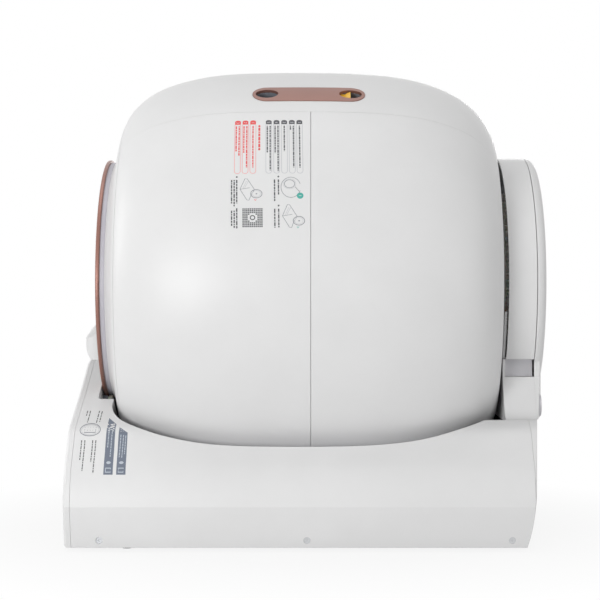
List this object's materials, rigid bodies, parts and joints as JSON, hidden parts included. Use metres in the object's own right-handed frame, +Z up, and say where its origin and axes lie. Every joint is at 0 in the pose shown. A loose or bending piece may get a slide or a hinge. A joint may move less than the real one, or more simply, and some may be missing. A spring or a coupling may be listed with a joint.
{
  "type": "self cleaning litter box",
  "caption": "Barrel drum litter box that turns on a low base with a rear drive column, a sieve and discharge door in the drum and a pull-out waste drawer.",
  "frame": {"origin": "on the floor, under the centre of the bounding box", "axes": "+Z up, -X towards the entrance, -Y towards the side that the picture shows"},
  "size_m": [0.613, 0.554, 0.602],
  "materials": {
    "white_abs": "satin",
    "grey_abs": "matt",
    "light_grey_abs": "satin",
    "rose_gold": "satin metallic paint",
    "neck_plastic": "satin",
    "yellow_abs": "satin",
    "acetal": "satin",
    "steel": "machined",
    "motor_steel": "satin",
    "rubber": "matt",
    "circuit_board": "solder mask",
    "dark_lens": "gloss",
    "load_cell_alloy": "machined"
  },
  "bodies": {
    "base": {"left_side_shell": "white_abs", "right_side_shell": "white_abs", "front_fascia": "white_abs", "rear_cap": "white_abs", "cradle_deck": "light_grey_abs", "base_floor": "white_abs", "side_screws": "steel", "rubber_feet": "rubber", "load_cells": "load_cell_alloy", "column_housing": "white_abs", "column_post_left": "grey_abs", "column_post_right": "grey_abs", "rear_cover": "white_abs", "power_inlet": "light_grey_abs", "control_board": "circuit_board", "gearbox": "grey_abs", "drive_motor": "motor_steel", "roller_bracket_left": "grey_abs", "roller_bracket_right": "grey_abs", "roller_pins": "steel", "pod_housing": "white_abs", "pod_face": "grey_abs", "display_lens": "dark_lens"},
    "carrier": {"hood_shell": "white_abs", "hood_neck": "light_grey_abs", "bearing_plate": "grey_abs", "spindle": "steel"},
    "drum": {"drum_front_shell": "white_abs", "drum_rear_shell": "white_abs", "mouth_frame": "white_abs", "top_strip": "white_abs", "front_finger_cup": "grey_abs", "rear_finger_cup": "grey_abs", "handle_bezel": "rose_gold", "latch_guide": "grey_abs", "neck_band": "neck_plastic", "lip_trim": "rose_gold", "mouth_funnel": "white_abs", "door_rail_front": "light_grey_abs", "door_rail_rear": "light_grey_abs", "sieve_screen": "light_grey_abs", "rear_disc": "white_abs", "hub_bushing": "acetal", "ring_gear": "acetal", "gear_screws": "steel"},
    "discharge_door": {"discharge_door": "light_grey_abs"},
    "handle_latch": {"latch_slider": "yellow_abs"},
    "drive_pinion": {"drive_pinion": "acetal", "output_shaft": "steel"},
    "front_roller_left": {"front_roller_left": "acetal"},
    "front_roller_right": {"front_roller_right": "acetal"},
    "waste_drawer": {"drawer_bin": "light_grey_abs", "drawer_front": "white_abs", "drawer_pull": "grey_abs"},
    "clean_button": {"clean_button": "light_grey_abs"},
    "power_button": {"power_button": "light_grey_abs"},
    "empty_button": {"empty_button": "light_grey_abs"}
  },
  "joints": [
    {"name": "drum_lift", "type": "slide", "parent": "base", "child": "carrier", "axis": [0, 0, 1], "range_m": [0, 0.25]},
    {"name": "drum_spin", "type": "hinge", "parent": "carrier", "child": "drum", "pos_m": [0, 0, 0.325], "axis": [1, 0, 0], "continuous": true},
    {"name": "door_slide", "type": "hinge", "parent": "drum", "child": "discharge_door", "pos_m": [0, 0, 0.325], "axis": [1, 0, 0], "range_deg": [-43, 0]},
    {"name": "latch_slide", "type": "slide", "parent": "drum", "child": "handle_latch", "axis": [-1, 0, 0], "range_m": [0, 0.005], "stiffness_N_per_m": 300},
    {"name": "pinion_spin", "type": "hinge", "parent": "base", "child": "drive_pinion", "pos_m": [0.267, 0, 0.187], "axis": [1, 0, 0], "continuous": true},
    {"name": "roller_left_spin", "type": "hinge", "parent": "base", "child": "front_roller_left", "pos_m": [-0.249, -0.0591, 0.16262], "axis": [1, 0, 0], "continuous": true},
    {"name": "roller_right_spin", "type": "hinge", "parent": "base", "child": "front_roller_right", "pos_m": [-0.249, 0.0591, 0.16262], "axis": [1, 0, 0], "continuous": true},
    {"name": "drawer_slide", "type": "slide", "parent": "base", "child": "waste_drawer", "axis": [-1, 0, 0], "range_m": [0, 0.42]},
    {"name": "clean_button_press", "type": "slide", "parent": "base", "child": "clean_button", "axis": [0.7771, 0, -0.6293], "range_m": [0, 0.0012], "stiffness_N_per_m": 500},
    {"name": "power_button_press", "type": "slide", "parent": "base", "child": "power_button", "axis": [0.7771, 0, -0.6293], "range_m": [0, 0.0012], "stiffness_N_per_m": 500},
    {"name": "empty_button_press", "type": "slide", "parent": "base", "child": "empty_button", "axis": [0.7771, 0, -0.6293], "range_m": [0, 0.0012], "stiffness_N_per_m": 500}
  ],
  "couplings": [
    {"joint": "pinion_spin", "follows": "drum_spin", "ratio": -4.75},
    {"joint": "roller_left_spin", "follows": "drum_spin", "ratio": -11.321},
    {"joint": "roller_right_spin", "follows": "drum_spin", "ratio": -11.321}
  ]
}
